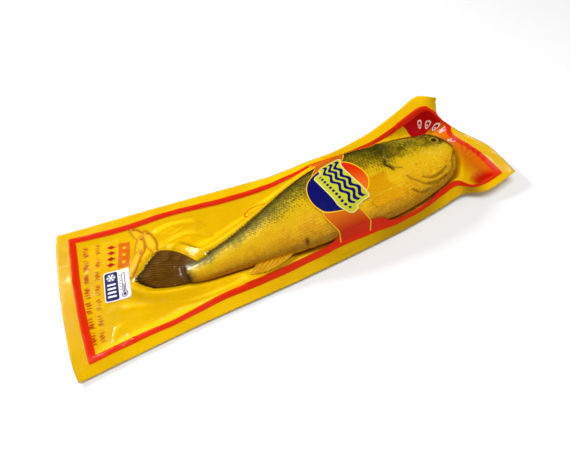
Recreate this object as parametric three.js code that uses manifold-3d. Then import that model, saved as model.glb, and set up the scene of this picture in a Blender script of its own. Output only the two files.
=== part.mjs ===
// A whole croaker sealed on its side in a long, flat, vacuum-packed pouch.
//
// Millimetres. +X runs along the pouch from its tail end to its head end, +Y from the belly side to the
// back side, and +Z up. The origin is the centre of the footprint, on the surface that the pack lies on.
// The fish is one grown body with its fins. The pouch is a clear front film sealed to a yellow back film
// round all four edges, and a small storage sticker is stuck on the front.

import * as THREE from 'three'
import { mergeVertices } from 'three/addons/utils/BufferGeometryUtils.js'
import Module from 'manifold-3d'

// ---- Driving dimensions --------------------------------------------------------------------------

const FILM = 0.5                // thickness of each film, measured upwards
const GAP = 0.3                 // gap between pieces that touch
const FISH_CLEARANCE = 1.0      // room between the faceted fish and the films round it
const REACH_ALONG = 8.4         // how far round a grid point the films keep clear of the fish
const REACH_ACROSS = 5
const SEAL_SHARE = 0.165        // the sealed margin, as a share of the half width
const END_SEAL_SHARE = 0.031    // the sealed margin at each end, as a share of the length
const CELLS_ALONG = 42
const CELLS_ACROSS = 20
const TAIL_BOW = 3.8            // how far the tail edge bows out between its corners
const HEAD_DROOP = 9            // how far the head margin bends down beside the snout
const SAG = 1.1                 // downward pull of the vacuum on the front film at each smoothing pass
const BACK_SAG = 0.35
const SMOOTHING_PASSES = 240

const SLIVER = 0.02             // edges shorter than this are closed up after a join
const FISH_RING = 20            // points round the body
const FIN_THICKNESS = 2.4
const SNOUT_X = 171.5
const PEDUNCLE_END_X = -112

const LOOKS = 12                // looks at the film to each side of the sticker's middle
const STICKER = { width: 22.5, length: 31.5, thickness: 0.3, corner: 2.5, x: -168, y: 0, turn: -0.13 }

const COLOURS = {
  fish: 0xc9970c,
  back: 0xf0b400,
  front: 0xffe9a0,
  sticker: 0xf2eef5
}

// ---- Solids --------------------------------------------------------------------------------------

const wasm = await Module()
wasm.setup()

function solidFrom (geometry) {
  const bare = geometry.index ? geometry.toNonIndexed() : geometry.clone()
  bare.deleteAttribute('normal')
  bare.deleteAttribute('uv')
  const merged = mergeVertices(bare, 1e-4)
  const mesh = new wasm.Mesh({
    numProp: 3,
    vertProperties: new Float32Array(merged.attributes.position.array),
    triVerts: new Uint32Array(merged.index.array)
  })
  return new wasm.Manifold(mesh)
}

// The slivers that the joins leave are closed up first.
function geometryFrom (solid) {
  const mesh = solid.simplify(SLIVER).getMesh()
  const geometry = new THREE.BufferGeometry()
  geometry.setAttribute('position', new THREE.BufferAttribute(mesh.vertProperties, 3))
  geometry.setIndex(new THREE.BufferAttribute(mesh.triVerts, 1))
  geometry.computeVertexNormals()
  return geometry
}

function geometryOf (points, triangles) {
  const geometry = new THREE.BufferGeometry()
  geometry.setAttribute('position', new THREE.Float32BufferAttribute(points.flat(), 3))
  geometry.setIndex(triangles.flat())
  geometry.computeVertexNormals()
  return geometry
}

// A smooth value read from a short list of [x, value] points.
function valueAt (points, x) {
  const last = points.length - 1
  if (x <= points[0][0]) return points[0][1]
  if (x >= points[last][0]) return points[last][1]
  let i = 0
  while (points[i + 1][0] < x) i++
  const [x0, v0] = points[i]
  const [x1, v1] = points[i + 1]
  const span = x1 - x0
  const slope = (a, b) => (points[b][1] - points[a][1]) / (points[b][0] - points[a][0])
  const m0 = slope(Math.max(i - 1, 0), i + 1) * span
  const m1 = slope(i, Math.min(i + 2, last)) * span
  const t = (x - x0) / span
  const t2 = t * t
  const t3 = t2 * t
  return (2 * t3 - 3 * t2 + 1) * v0 + (t3 - 2 * t2 + t) * m0 + (3 * t2 - 2 * t3) * v1 + (t3 - t2) * m1
}

// ---- The fish ------------------------------------------------------------------------------------

// The outline of the body seen from above, and its thickness, each from the tail to the snout.
const backLine = [[-112, -7], [-98, -13], [-80, -9], [-58, -3.5], [-30, 8], [-5, 19], [22, 28.5], [62, 37],
  [97, 35.5], [126, 33], [150, 28], [163, 20], [171, 5]]
const bellyLine = [[-112, -28], [-98, -32.5], [-80, -35.5], [-58, -38.5], [-30, -43.5], [-5, -46.3],
  [22, -47.2], [77, -47.5], [97, -44.8], [126, -37.3], [150, -27.5], [163, -15.5], [171, -1]]
const halfThickness = [[-112, 3.6], [-98, 6.6], [-58, 11.3], [-20, 16.3], [22, 19.4], [62, 20], [97, 19.4],
  [126, 18.4], [150, 15.8], [163, 11.3], [171, 1.5]]
const middleHeight = [[-112, 6.5], [-98, 9], [-58, 14], [-20, 18.6], [22, 21.6], [97, 22], [126, 21.6],
  [150, 20.6], [171, 20]]

// The body is a row of rounded rings from the peduncle to the snout.
function bodyGeometry () {
  const stations = []
  for (let x = PEDUNCLE_END_X; x < 150; x += 10.5) stations.push(x)
  stations.push(150, 156.5, 162, 166.5, 169.8)
  const points = []
  for (const x of stations) {
    const top = valueAt(backLine, x)
    const bottom = valueAt(bellyLine, x)
    for (let k = 0; k < FISH_RING; k++) {
      const angle = 2 * Math.PI * k / FISH_RING
      const y = (top + bottom) / 2 + (top - bottom) / 2 * Math.cos(angle)
      const rise = Math.sign(Math.sin(angle)) * Math.abs(Math.sin(angle)) ** 0.92
      points.push([x, y, valueAt(middleHeight, x) + valueAt(halfThickness, x) * rise])
    }
  }
  const triangles = []
  const rings = stations.length
  for (let i = 0; i < rings - 1; i++) {
    for (let k = 0; k < FISH_RING; k++) {
      const a = i * FISH_RING + k
      const b = i * FISH_RING + (k + 1) % FISH_RING
      triangles.push([a, b, b + FISH_RING], [a, b + FISH_RING, a + FISH_RING])
    }
  }
  const tail = points.length
  points.push([PEDUNCLE_END_X - 1, (backLine[0][1] + bellyLine[0][1]) / 2, middleHeight[0][1]])
  const snout = points.length
  points.push([SNOUT_X, 2, 20])
  for (let k = 0; k < FISH_RING; k++) {
    const next = (k + 1) % FISH_RING
    const last = (rings - 1) * FISH_RING
    triangles.push([tail, next, k], [snout, last + k, last + next])
  }
  return geometryOf(points, triangles)
}

// A fin blade that stands out of the body's edge, from a root line to a free edge, at the middle height.
function bladeGeometry (root, edge, height, thickness, steps = 10) {
  const points = []
  const triangles = []
  const from = root[0][0]
  const to = root[root.length - 1][0]
  const lines = root[0][1] < edge[0][1] ? [root, edge] : [edge, root]
  for (let i = 0; i <= steps; i++) {
    const x = from + (to - from) * i / steps
    const z = valueAt(height, x)
    for (const line of lines) {
      const y = valueAt(line, x)
      points.push([x, y, z - thickness / 2], [x, y, z + thickness / 2])
    }
  }
  for (let i = 0; i < steps; i++) {
    const a = 4 * i
    const b = a + 4
    for (const [p, q] of [[0, 1], [1, 3], [3, 2], [2, 0]]) {
      triangles.push([a + p, b + p, b + q], [a + p, b + q, a + q])
    }
  }
  const end = 4 * steps
  triangles.push([0, 1, 3], [0, 3, 2], [end, end + 3, end + 1], [end, end + 2, end + 3])
  return geometryOf(points, triangles)
}

// A leaf-shaped fin laid flat: pectoral and pelvic fins, folded along the body.
function leafGeometry (length, width, thickness) {
  const shape = new THREE.Shape()
  shape.moveTo(0, 0)
  shape.quadraticCurveTo(-length * 0.35, width * 0.75, -length, width * 0.12)
  shape.quadraticCurveTo(-length * 0.55, -width * 0.5, 0, 0)
  return new THREE.ExtrudeGeometry(shape, { depth: thickness, bevelEnabled: false, curveSegments: 5 })
}

function tailFinGeometry () {
  const shape = new THREE.Shape()
  shape.moveTo(-103, -14)
  shape.quadraticCurveTo(-112, -2, -120, 11)
  shape.quadraticCurveTo(-125, 18, -134, 14)
  shape.quadraticCurveTo(-146, 6, -153, -3)
  shape.quadraticCurveTo(-148, -10, -142, -17)
  shape.quadraticCurveTo(-130, -24, -118, -26)
  shape.quadraticCurveTo(-108, -28, -103, -29)
  const geometry = new THREE.ExtrudeGeometry(shape, { depth: FIN_THICKNESS, bevelEnabled: false,
    curveSegments: 5 })
  return geometry.translate(0, 0, 4.2)
}

function fishSolid () {
  const dorsalRoot = [[-86, -13], [-58, -7], [-30, 4], [0, 17], [30, 27]]
  const dorsalEdge = [[-86, -5.5], [-58, 1], [-30, 12.5], [0, 24.5], [30, 33]]
  const analRoot = [[-58, -35], [-36, -40], [-16, -44]]
  const analEdge = [[-58, -43], [-36, -48.5], [-16, -50]]
  const finHeight = middleHeight.map(([x, z]) => [x, z - 1])
  const pectoral = leafGeometry(46, 17, 1.6).rotateX(-0.16).rotateZ(0.1).translate(88, -19, 38.5)
  const pelvic = leafGeometry(30, 12, 1.6).rotateX(0.9).rotateZ(0.05).translate(84, -42, 31)
  const eyeTop = new THREE.SphereGeometry(8, 12, 8).scale(1, 1, 0.55).translate(150, 13, 31.6)
  const eyeUnder = eyeTop.clone().scale(1, 1, -1).translate(0, 0, 41.5)
  eyeUnder.index.array.reverse()
  const pieces = [
    tailFinGeometry(),
    bladeGeometry(dorsalRoot, dorsalEdge, finHeight, 4),
    bladeGeometry(analRoot, analEdge, finHeight, 3, 6),
    pectoral,
    pelvic,
    eyeTop,
    eyeUnder
  ]
  return pieces.reduce((fish, piece) => fish.add(solidFrom(piece)), solidFrom(bodyGeometry()))
}

// ---- The pouch -----------------------------------------------------------------------------------

// Four lines run along the pouch: its near edge, the two inner lines of the side seals, and its far edge.
const curve = (points) => new THREE.CatmullRomCurve3(points.map((p) => new THREE.Vector3(...p)))
const nearEdge = curve([[-212.7, -76.2, 2.5], [-115, -67.4, 2], [-22, -62.3, 2], [79.5, -53.2, 2.5],
  [127, -46, 3.5], [148, -42, 5], [159, -41.5, 6], [174, -48.5, 8], [187, -48.3, 10], [213.8, -42.3, 12]])
const nearSeal = curve([[-213, -64, 2.5], [-153.7, -60, 2.5], [-76.3, -59, 3], [-21, -58.5, 3.5],
  [23, -57.5, 4], [72, -53, 4], [106, -49, 5], [134, -42, 7], [150, -35, 9], [168, -43, 12],
  [198, -37, 13], [213.8, -32, 12.5]])
const farSeal = curve([[-208, 66, 2.5], [-152.5, 59.4, 3], [-104.5, 58, 3.5], [-56.6, 52.5, 4],
  [-12.9, 49.5, 6], [15.9, 48.6, 9], [38, 49.4, 13], [74, 46, 18], [102, 46, 21], [128, 49.5, 24],
  [155.6, 57.4, 31], [171, 61, 36], [183, 57, 34]])
const farEdge = curve([[-207.6, 76.2, 2.5], [-119.2, 70.4, 3], [-71.9, 67.4, 3], [-23.3, 62.8, 4],
  [35, 57, 12], [68, 52, 19], [105.6, 55, 26], [149, 66.5, 33], [168.6, 69, 40], [182, 57, 46]])

// How far the head edge stands out from a straight line between its corners, from the near one to the far one.
const headEdge = [[-1, 0], [-0.65, 6], [-0.2, 10], [0.1, 7], [0.4, 1.5], [0.8, -5], [1, 0]]

const sealLine = 1 - SEAL_SHARE
const rails = [[-1, nearEdge], [-sealLine, nearSeal], [sealLine, farSeal], [1, farEdge]]

// The place on the sealed surface at along, 0 at the tail to 1 at the head, and across, -1 to 1.
function sealedPoint (along, across) {
  let i = 0
  while (i < rails.length - 2 && rails[i + 1][0] < across) i++
  const [a0, low] = rails[i]
  const [a1, high] = rails[i + 1]
  const point = low.getPointAt(along).lerp(high.getPointAt(along), (across - a0) / (a1 - a0))
  point.x -= TAIL_BOW * (1 - across * across) * (1 - along) ** 3
  point.x += valueAt(headEdge, across) * along ** 6
  const besideSnout = Math.exp(-(((across - 0.45) / 0.3) ** 2))
  point.z -= HEAD_DROOP * besideSnout * THREE.MathUtils.smoothstep(along, 1 - END_SEAL_SHARE, 1)
  return point
}

// Even steps between the seals, and two steps over each sealed margin.
function stepsOf (count, from, to, seal) {
  const steps = [from, from + seal / 2]
  const inner = count - 4
  for (let i = 0; i <= inner; i++) steps.push(from + seal + (to - from - 2 * seal) * i / inner)
  steps.push(to - seal / 2, to)
  return steps
}

const alongSteps = stepsOf(CELLS_ALONG, 0, 1, END_SEAL_SHARE)
const acrossSteps = stepsOf(CELLS_ACROSS, -1, 1, SEAL_SHARE)
const base = alongSteps.map((along) => acrossSteps.map((across) => sealedPoint(along, across)))
const isSealed = (i, j) => i < 3 || j < 3 || i > CELLS_ALONG - 3 || j > CELLS_ACROSS - 3

// The highest and the lowest point of the fish round each grid point, found by looking straight down
// and straight up at it.
function fishHeights (fishMesh) {
  const spread = [-1, -0.5, 0, 0.5, 1]
  const reachAlong = spread.map((step) => step * REACH_ALONG)
  const reachAcross = spread.map((step) => step * REACH_ACROSS)
  const ray = new THREE.Raycaster()
  const down = new THREE.Vector3(0, 0, -1)
  const up = new THREE.Vector3(0, 0, 1)
  const look = (x, y, z, direction) => {
    ray.set(new THREE.Vector3(x, y, z), direction)
    const hits = ray.intersectObject(fishMesh)
    return hits.length ? hits[0].point.z : null
  }
  return base.map((row) => row.map((point) => {
    let top = -Infinity
    let bottom = Infinity
    for (const dx of reachAlong) {
      for (const dy of reachAcross) {
        const high = look(point.x + dx, point.y + dy, 100, down)
        if (high === null) continue
        top = Math.max(top, high)
        bottom = Math.min(bottom, look(point.x + dx, point.y + dy, -20, up))
      }
    }
    return { top, bottom }
  }))
}

// Smooths a height field between its sealed margins, pulled down by sag and held inside its limits.
function drape (heights, sag, limit) {
  for (let pass = 0; pass < SMOOTHING_PASSES; pass++) {
    for (let i = 1; i < CELLS_ALONG; i++) {
      for (let j = 1; j < CELLS_ACROSS; j++) {
        if (isSealed(i, j)) continue
        const across = heights[i][j - 1] + heights[i][j + 1]
        const along = heights[i - 1][j] + heights[i + 1][j]
        heights[i][j] = limit(i, j, 0.3 * across + 0.2 * along - sag)
      }
    }
  }
  return heights
}

// A film as a closed sheet: the grid at its underside, the same grid FILM higher, and the four edges.
function filmGeometry (heights) {
  const columns = acrossSteps.length
  const layer = alongSteps.length * columns
  const points = []
  for (const rise of [0, FILM]) {
    base.forEach((row, i) => row.forEach((p, j) => points.push([p.x, p.y, heights[i][j] + rise])))
  }
  const triangles = []
  const quad = (a, b, c, d) => triangles.push([a, b, c], [a, c, d])
  const at = (i, j) => i * columns + j
  for (let i = 0; i < CELLS_ALONG; i++) {
    for (let j = 0; j < CELLS_ACROSS; j++) {
      const [a, b, c, d] = [at(i, j), at(i + 1, j), at(i + 1, j + 1), at(i, j + 1)]
      quad(a + layer, b + layer, c + layer, d + layer)
      quad(a, d, c, b)
    }
  }
  const wall = (a, b) => quad(a, b, b + layer, a + layer)
  for (let i = 0; i < CELLS_ALONG; i++) {
    wall(at(i, 0), at(i + 1, 0))
    wall(at(i + 1, CELLS_ACROSS), at(i, CELLS_ACROSS))
  }
  for (let j = 0; j < CELLS_ACROSS; j++) {
    wall(at(0, j + 1), at(0, j))
    wall(at(CELLS_ALONG, j), at(CELLS_ALONG, j + 1))
  }
  return geometryOf(points, triangles)
}

function pouchGeometries (fishMesh) {
  const fish = fishHeights(fishMesh)
  const start = base.map((row, i) => row.map((p, j) => isSealed(i, j) ? p.z - FILM - GAP / 2 : 0))
  const back = drape(start, BACK_SAG, (i, j, z) => {
    const ceiling = fish[i][j].bottom - FILM - FISH_CLEARANCE
    return Math.max(0, Math.min(z, ceiling))
  })
  const floor = back.map((row) => row.map((z) => z + FILM + GAP))
  const front = drape(floor.map((row) => [...row]), SAG, (i, j, z) => {
    return Math.max(z, floor[i][j], fish[i][j].top + FISH_CLEARANCE)
  })
  return { back: filmGeometry(back), front: filmGeometry(front) }
}

// ---- The sticker ---------------------------------------------------------------------------------

// The highest part of the film under the sticker, found by looking straight down at a fine grid of places.
function highestUnderSticker (film) {
  const ray = new THREE.Raycaster()
  const down = new THREE.Vector3(0, 0, -1)
  const turn = new THREE.Vector3(0, 0, 1)
  let highest = 0
  for (let i = -LOOKS; i <= LOOKS; i++) {
    for (let j = -LOOKS; j <= LOOKS; j++) {
      const place = new THREE.Vector3(STICKER.width * i, STICKER.length * j, 0).divideScalar(2 * LOOKS)
      place.applyAxisAngle(turn, STICKER.turn).add(new THREE.Vector3(STICKER.x, STICKER.y, 100))
      ray.set(place, down)
      const hits = ray.intersectObject(film)
      if (hits.length) highest = Math.max(highest, hits[0].point.z)
    }
  }
  return highest
}

function stickerGeometry (under) {
  const { width, length, thickness, corner } = STICKER
  const x = width / 2
  const y = length / 2
  const shape = new THREE.Shape()
  shape.moveTo(-x + corner, -y)
  shape.lineTo(x - corner, -y)
  shape.absarc(x - corner, -y + corner, corner, -Math.PI / 2, 0)
  shape.absarc(x - corner, y - corner, corner, 0, Math.PI / 2)
  shape.absarc(-x + corner, y - corner, corner, Math.PI / 2, Math.PI)
  shape.absarc(-x + corner, -y + corner, corner, Math.PI, 3 * Math.PI / 2)
  const geometry = new THREE.ExtrudeGeometry(shape, { depth: thickness, bevelEnabled: false,
    curveSegments: 4 })
  return geometry.rotateZ(STICKER.turn).translate(STICKER.x, STICKER.y, under)
}

// ---- The pack ------------------------------------------------------------------------------------

function piece (name, geometry, colour, finish = {}) {
  const material = new THREE.MeshStandardMaterial({ color: colour, roughness: 0.3, metalness: 0, ...finish })
  const mesh = new THREE.Mesh(geometry, material)
  mesh.name = name
  return mesh
}

const group = new THREE.Group()
const fish = piece('croaker', geometryFrom(fishSolid()), COLOURS.fish, { roughness: 0.45 })
const films = pouchGeometries(fish)
const backFilm = piece('back_film', films.back, COLOURS.back)
const frontFilm = piece('front_film', films.front, COLOURS.front, { transparent: true, opacity: 0.35 })

const under = highestUnderSticker(frontFilm)
const sticker = piece('storage_sticker', stickerGeometry(under + GAP), COLOURS.sticker, { roughness: 0.5 })

group.add(fish, backFilm, frontFilm, sticker)

export default group
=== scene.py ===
# %% [markdown]
# # A croaker in a vacuum pouch
# The pack is one whole croaker lying on its side between two plastic films. The films are sealed to each
# other round all four edges, and the air is drawn out, so the clear front film is pulled down over the
# fish and takes its shape. This notebook builds the fish first, then drapes the films over it.
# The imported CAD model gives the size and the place. The pieces made here stand for its plain solids.

# %% Load the frame
import math

import bpy
import numpy as np
from mathutils import Matrix, Vector, noise
from mathutils.bvhtree import BVHTree


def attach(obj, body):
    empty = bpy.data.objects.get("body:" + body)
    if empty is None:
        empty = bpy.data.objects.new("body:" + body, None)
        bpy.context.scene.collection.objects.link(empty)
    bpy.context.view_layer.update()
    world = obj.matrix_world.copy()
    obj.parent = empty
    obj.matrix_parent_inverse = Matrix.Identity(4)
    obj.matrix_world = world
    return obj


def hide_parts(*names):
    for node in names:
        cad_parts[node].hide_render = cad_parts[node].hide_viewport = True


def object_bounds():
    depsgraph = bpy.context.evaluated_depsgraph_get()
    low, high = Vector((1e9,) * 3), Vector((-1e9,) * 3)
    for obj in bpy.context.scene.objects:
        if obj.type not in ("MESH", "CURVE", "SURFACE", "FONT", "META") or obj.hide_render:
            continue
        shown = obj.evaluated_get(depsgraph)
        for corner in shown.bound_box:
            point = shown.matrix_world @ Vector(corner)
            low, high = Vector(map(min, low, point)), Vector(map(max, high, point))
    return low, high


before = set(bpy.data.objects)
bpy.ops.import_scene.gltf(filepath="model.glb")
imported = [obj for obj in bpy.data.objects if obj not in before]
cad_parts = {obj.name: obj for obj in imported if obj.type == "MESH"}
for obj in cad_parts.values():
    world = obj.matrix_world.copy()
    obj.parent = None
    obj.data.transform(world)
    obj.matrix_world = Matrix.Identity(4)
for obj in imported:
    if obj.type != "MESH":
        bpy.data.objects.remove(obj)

MM = 0.001
cad_low, cad_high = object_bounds()
pack_length, pack_width, pack_height = (cad_high - cad_low) / MM
print(f"the pack is {pack_length:.0f} x {pack_width:.0f} x {pack_height:.0f} mm")

# %% [markdown]
# ## Helpers
# A long natural body is easiest to describe by a few measured stations. Between them its outline runs
# smoothly, so a short list of places and values is read as a smooth line. The slopes are taken from the
# neighbouring stations, which never overshoots on gentle outlines.

# %% Smooth lines through a few stations
def value_at(stations, x):
    """A smooth value at x, or at each x, from a short list of (x, value) pairs."""
    xs, vs = (np.array(column, float) for column in zip(*stations))
    x = np.clip(np.asarray(x, float), xs[0], xs[-1])
    i = np.clip(np.searchsorted(xs, x, side="right") - 1, 0, len(xs) - 2)
    before, after = np.maximum(i - 1, 0), np.minimum(i + 2, len(xs) - 1)
    span = xs[i + 1] - xs[i]
    m0 = (vs[i + 1] - vs[before]) / (xs[i + 1] - xs[before]) * span
    m1 = (vs[after] - vs[i]) / (xs[after] - xs[i]) * span
    t = (x - xs[i]) / span
    return ((2 * t**3 - 3 * t**2 + 1) * vs[i] + (t**3 - 2 * t**2 + t) * m0
            + (3 * t**2 - 2 * t**3) * vs[i + 1] + (t**3 - t**2) * m1)


def even_path(points, count):
    """count + 1 points, evenly spaced along a smooth curve through the given ones."""
    points = np.array(points, float)
    steps = np.r_[0, np.cumsum(np.linalg.norm(np.diff(points, axis=0), axis=1))]
    fine = np.linspace(0, steps[-1], 40 * len(points))
    curve = np.stack([value_at(list(zip(steps, points[:, k])), fine) for k in range(points.shape[1])], 1)
    run = np.r_[0, np.cumsum(np.linalg.norm(np.diff(curve, axis=0), axis=1))]
    even = np.linspace(0, run[-1], count + 1)
    return np.stack([np.interp(even, run, curve[:, k]) for k in range(points.shape[1])], 1)


def smoothstep(low, high, x):
    t = np.clip((np.asarray(x, float) - low) / (high - low), 0, 1)
    return t * t * (3 - 2 * t)


def distance_to_path(path, points):
    """How far each 2-D point is from a line through the path's points."""
    best = np.full(len(points), np.inf)
    for a, b in zip(path[:-1], path[1:]):
        a, b = np.array(a, float), np.array(b, float)
        along = np.clip(((points - a) @ (b - a)) / max((b - a) @ (b - a), 1e-9), 0, 1)
        best = np.minimum(best, np.linalg.norm(points - a - along[:, None] * (b - a), axis=1))
    return best


# %% Reading and writing a mesh's points
def points_of(piece):
    """The piece's vertices in millimetres."""
    co = np.empty(len(piece.data.vertices) * 3)
    piece.data.vertices.foreach_get("co", co)
    return co.reshape(-1, 3) / MM


def set_points(piece, points):
    piece.data.vertices.foreach_set("co", (np.asarray(points) * MM).ravel())
    piece.data.update()


def normals_of(piece):
    n = np.empty(len(piece.data.vertices) * 3, np.float32)
    piece.data.vertex_normals.foreach_get("vector", n)
    return n.reshape(-1, 3).astype(float)


def store(piece, name, values):
    """Keeps a value for each vertex under a name, for the material to read."""
    attribute = piece.data.attributes.new(name, "FLOAT", "POINT")
    attribute.data.foreach_set("value", np.asarray(values, np.float32))


def shade_smooth(piece):
    for polygon in piece.data.polygons:
        polygon.use_smooth = True


def start_fresh():
    """Nothing is selected, so an operator changes only what is made next."""
    if bpy.context.object and bpy.context.object.mode != "OBJECT":
        bpy.ops.object.mode_set(mode="OBJECT")
    bpy.ops.object.select_all(action="DESELECT")


def apply_modifiers(piece):
    start_fresh()
    bpy.context.view_layer.objects.active = piece
    piece.select_set(True)
    for modifier in list(piece.modifiers):
        bpy.ops.object.modifier_apply(modifier=modifier.name)
    return piece


# %% [markdown]
# ## The fish
# A croaker is a long body, thick behind the head and narrow before the tail. It could be sculpted from a
# ball, but a fish is drawn by its outline, so it is built like a boat: a ring at the tail is extruded
# ring by ring to the snout, and each ring is moved and scaled to the outline. It lies on its side, so the
# back is towards +Y and the flank faces up. The tail half droops to the table, which the middle height
# follows. A subdivision surface rounds the rings. Only the upper flank is then divided once more, because
# the scales are seen there and the underside would only make the file heavy.

# %% The outline of the body
BACK = [(-112, -7), (-98, -13), (-80, -9), (-58, -3.5), (-30, 8), (-5, 19), (22, 28.5), (62, 37),
        (97, 35.5), (126, 33), (150, 28), (163, 20), (171, 5)]
BELLY = [(-112, -28), (-98, -32.5), (-80, -35.5), (-58, -38.5), (-30, -43.5), (-5, -46.3), (22, -47.2),
         (77, -47.5), (97, -44.8), (126, -37.3), (150, -27.5), (163, -15.5), (171, -1)]
HALF_THICKNESS = [(-112, 3.6), (-98, 6.6), (-58, 11.3), (-20, 16.3), (22, 19.4), (62, 20), (97, 19.4),
                  (126, 18.4), (150, 15.8), (163, 11.3), (171, 1.5)]
MIDDLE_HEIGHT = [(-112, 6.5), (-98, 9), (-58, 14), (-20, 18.6), (22, 21.6), (97, 22), (126, 21.6),
                 (150, 20.6), (171, 20)]
RING_POINTS = 24
STATIONS = [-112, -105, -96, -85, -72, -58, -44, -30, -15, 0, 16, 32, 48, 64, 78, 90, 102, 114, 126, 138,
            148, 156, 162.5, 167.5, 170.5]


def section_at(x):
    """The middle of the body's section at x, its half depth and its half thickness."""
    back, belly = value_at(BACK, x), value_at(BELLY, x)
    return (back + belly) / 2, value_at(MIDDLE_HEIGHT, x), (back - belly) / 2, value_at(HALF_THICKNESS, x)


# %% Extrude the body from the tail to the snout
def make_body():
    start_fresh()
    y, z, depth, thickness = section_at(STATIONS[0])
    bpy.ops.mesh.primitive_circle_add(vertices=RING_POINTS, radius=MM, fill_type="NGON",
                                      location=Vector((STATIONS[0], y, z)) * MM,
                                      rotation=(0, math.radians(90), 0))
    body = bpy.context.object
    body.name = "croaker_body"
    bpy.ops.object.transform_apply(location=True, rotation=True, scale=True)
    bpy.ops.object.mode_set(mode="EDIT")
    centre = Vector((STATIONS[0], y, z)) * MM
    bpy.ops.transform.resize(value=(1, float(depth), float(thickness)), center_override=centre)
    for x in STATIONS[1:]:
        y1, z1, depth1, thickness1 = section_at(x)
        move = Vector((x, y1, z1)) * MM - centre
        bpy.ops.mesh.extrude_region_move(TRANSFORM_OT_translate={"value": move})
        centre = centre + move
        bpy.ops.transform.resize(value=(1, float(depth1 / depth), float(thickness1 / thickness)),
                                 center_override=centre)
        depth, thickness = depth1, thickness1
    bpy.ops.mesh.select_all(action="SELECT")
    bpy.ops.mesh.normals_make_consistent(inside=False)
    bpy.ops.object.mode_set(mode="OBJECT")
    smooth = body.modifiers.new("round", "SUBSURF")
    smooth.levels = smooth.render_levels = 3
    return apply_modifiers(body)


def refine_upper_flank(body):
    """Halves the faces that look up, where the scales are seen. The underside keeps its larger faces."""
    bpy.ops.object.mode_set(mode="EDIT")
    bpy.ops.mesh.select_all(action="DESELECT")
    bpy.ops.object.mode_set(mode="OBJECT")
    body.data.vertices.foreach_set("select", normals_of(body)[:, 2] > -0.1)
    bpy.ops.object.mode_set(mode="EDIT")
    bpy.ops.mesh.select_mode(type="VERT")
    bpy.ops.mesh.subdivide(number_cuts=1, smoothness=1.0)
    bpy.ops.object.mode_set(mode="OBJECT")


body = make_body()
refine_upper_flank(body)
print("body faces:", len(body.data.polygons))
print("body triangles:", sum(len(face.vertices) - 2 for face in body.data.polygons))

# %% [markdown]
# ## Carving the head and the skin
# The smooth body still has no gill cover, jaw or scales. They could be painted on, but they catch the
# light through the film, so they are cut into the mesh. Each feature is a line or a spot on the flank,
# and every point near it is pushed along its normal. A fish is the same on both flanks, so a feature is
# found by its place along and across the flank only, and both sides get it. The deepest lines also keep
# a shade, because little light reaches into a real fold.

# %% Where each point of the body is
skin = points_of(body)
middle_y, middle_z, half_depth, half_thick = section_at(skin[:, 0])
towards_back = (skin[:, 1] - middle_y) / half_depth
towards_flank = (skin[:, 2] - middle_z) / half_thick
flank = skin[:, :2]
round_angle = np.abs(np.arctan2(towards_flank, towards_back))
on_flank = smoothstep(0.12, 0.5, np.abs(towards_flank))
print("points on the skin:", len(skin))

# %% Gill cover, jaw, eye sockets and folds
GILL_EDGE = [(98, 17), (91.5, 8), (90.4, 1), (87.4, -5), (89.6, -8.5), (91, -13), (93, -19), (98, -27),
             (105, -37)]
GILL_TOP = [(90, 1), (94.4, 2), (100.6, 2), (106, 3.7), (113, 6)]
GILL_NOTCH = [(88, -6), (91, -9.5), (94.7, -12.7), (99, -13.8)]
FIN_BASE = (93, -21)
CHEEK_EDGE = [(107, 3), (102, -6), (100.4, -15), (100.6, -21), (102, -27)]
JAW_LINE = [(171, 0), (162, -9), (155, -16.5), (151.5, -23)]
JAW_FOLDS = [[(99, -23.7), (101.5, -27.5), (106.5, -31), (112, -34.2), (121, -34.4), (130.5, -33),
              (140, -29.5)],
             [(97.5, -36), (104.5, -39.3), (117, -38.3)],
             [(113, -28.5), (122, -30.5), (133, -28), (143, -23)]]
EYE = (151.0, 10.0)
EYE_RADIUS = 7.2
NOSTRIL = (163, 9)
PORES = [(110.8, -14.5), (126.9, -16.7), (144.5, -20.9), (138, -13.5), (132, -4)]
VENT = (-9, -43.5)
LATERAL_LINE = [(88, 13), (60, 12), (25, 5), (-10, -4), (-45, -13), (-80, -19), (-112, -17)]


def groove(path, depth, width):
    """A push inwards along a smooth line on the flank."""
    line = even_path(path, 24)
    return -depth * on_flank * np.exp(-(distance_to_path(line, flank) / width) ** 2)


def swelling(place, height, width):
    away = np.linalg.norm(flank - np.array(place), axis=1)
    return height * on_flank * np.exp(-(away / width) ** 2)


gill_line = even_path(GILL_EDGE, 30)
behind_gill = flank[:, 0] - value_at([(y, x) for x, y in reversed(GILL_EDGE)], flank[:, 1])
push = 0.9 * on_flank * smoothstep(-0.8, 0.8, behind_gill) * np.exp(-np.clip(behind_gill, 0, None) / 16)
push += groove(GILL_EDGE, 1.3, 1.5) + groove(CHEEK_EDGE, 0.4, 2.2) + groove(JAW_LINE, 1.4, 1.1)
push += groove(GILL_TOP, 0.5, 1.0) + groove(GILL_NOTCH, 1.1, 1.0) + swelling(FIN_BASE, 0.9, 5)
for fold in JAW_FOLDS:
    push += groove(fold, 0.9, 0.9) + groove([(x + 0.8, y + 2.2) for x, y in fold], -0.4, 1.2)
shade = np.zeros(len(flank))
for line in (GILL_TOP, GILL_NOTCH, JAW_LINE, *JAW_FOLDS):
    width = 1.0 if line is GILL_NOTCH else 0.9
    shade = np.maximum(shade, np.exp(-(distance_to_path(even_path(line, 24), flank) / width) ** 2))
push += groove(LATERAL_LINE, 0.25, 0.8)
push += swelling((128, -3), 1.6, 13) + swelling((106, -4), 0.8, 7) + swelling((159, 0), 0.8, 6)
push += swelling(EYE, -2.4, EYE_RADIUS * 0.85) + swelling((151, 21), 1.2, 5)
push += swelling(NOSTRIL, -0.9, 1.1) + swelling(VENT, -1.2, 1.6)
for pore in PORES:
    push += swelling(pore, -0.5, 0.9)
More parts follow.
